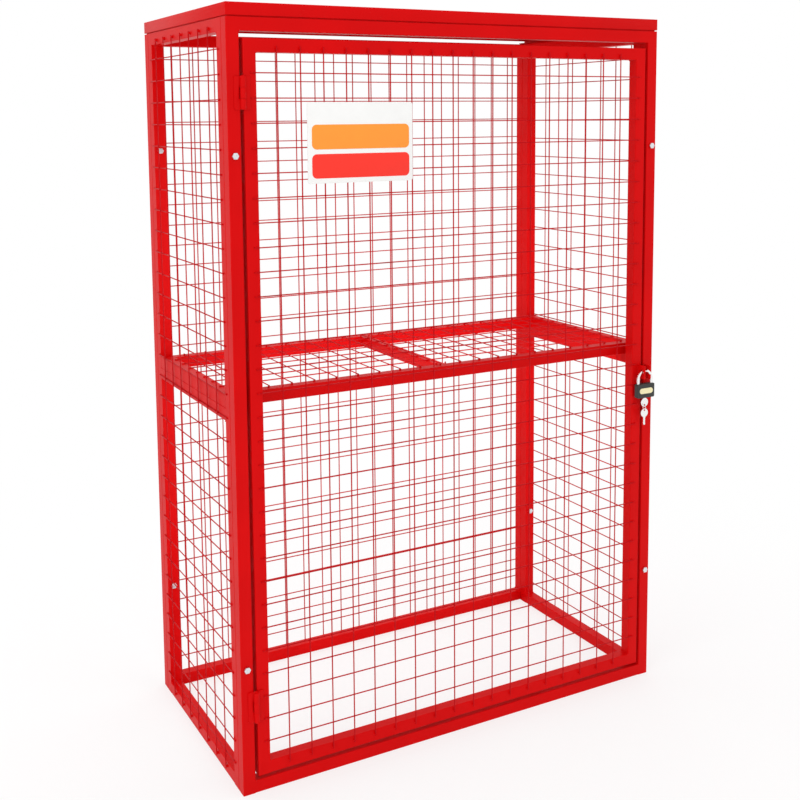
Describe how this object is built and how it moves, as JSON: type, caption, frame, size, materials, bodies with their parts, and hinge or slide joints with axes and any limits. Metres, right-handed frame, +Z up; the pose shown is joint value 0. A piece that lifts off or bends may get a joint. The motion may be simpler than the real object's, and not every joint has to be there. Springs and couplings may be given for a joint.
{
  "type": "gas cylinder cage",
  "caption": "Tall red steel mesh cage for gas cylinders with a roof tray, a mid-height mesh shelf and one full-height mesh door with a padlock.",
  "frame": {"origin": "middle of the whole footprint on the floor, the lock lugs included", "axes": "+X to the right seen from the door side, +Y to the back, +Z up"},
  "size_m": [1.2108, 0.6324, 1.8],
  "materials": {
    "red_powder_coat": "glossy red powder coat on welded square tube and sheet",
    "coated_wire": "glossy red powder coat on welded steel wire",
    "coated_pin": "red powder coat on a turned pin",
    "padlock_black": "satin charcoal coating on a cast padlock body",
    "bright_steel": "bright plated steel",
    "brass_badge": "blank satin brass plate",
    "sign_white": "rigid white plastic sheet, blank"
  },
  "bodies": {
    "cage": {"roof_tray": "red_powder_coat", "roof_seat": "red_powder_coat", "front_frame": "red_powder_coat", "back_frame": "red_powder_coat", "left_frame": "red_powder_coat", "right_frame": "red_powder_coat", "left_mesh": "coated_wire", "right_mesh": "coated_wire", "back_mesh_upper": "coated_wire", "back_mesh_lower": "coated_wire", "shelf_frame": "red_powder_coat", "shelf_crossbar": "red_powder_coat", "shelf_mesh_left": "coated_wire", "shelf_mesh_right": "coated_wire", "upper_hinge_post_leaf": "red_powder_coat", "upper_hinge_pin": "coated_pin", "lower_hinge_post_leaf": "red_powder_coat", "lower_hinge_pin": "coated_pin", "post_lug": "red_powder_coat"},
    "door": {"door_frame": "red_powder_coat", "door_mesh_upper": "coated_wire", "door_mesh_lower": "coated_wire", "upper_hinge_door_leaf": "red_powder_coat", "lower_hinge_door_leaf": "red_powder_coat", "door_lug": "red_powder_coat", "sign_plate": "sign_white"},
    "padlock": {"padlock_body": "padlock_black", "padlock_shackle": "bright_steel", "padlock_badge": "brass_badge", "lock_key": "bright_steel", "key_link": "bright_steel", "spare_key": "bright_steel"}
  },
  "joints": [
    {"name": "door_hinge", "type": "hinge", "parent": "cage", "child": "door", "pos_m": [-0.566, -0.29625, 0.9], "axis": [0, 0, -1], "range_deg": [0, 170]},
    {"name": "padlock_swing", "type": "hinge", "parent": "door", "child": "padlock", "pos_m": [0.5625, -0.30465, 0.8645], "axis": [-1, 0, 0], "range_deg": [0, 60]}
  ]
}
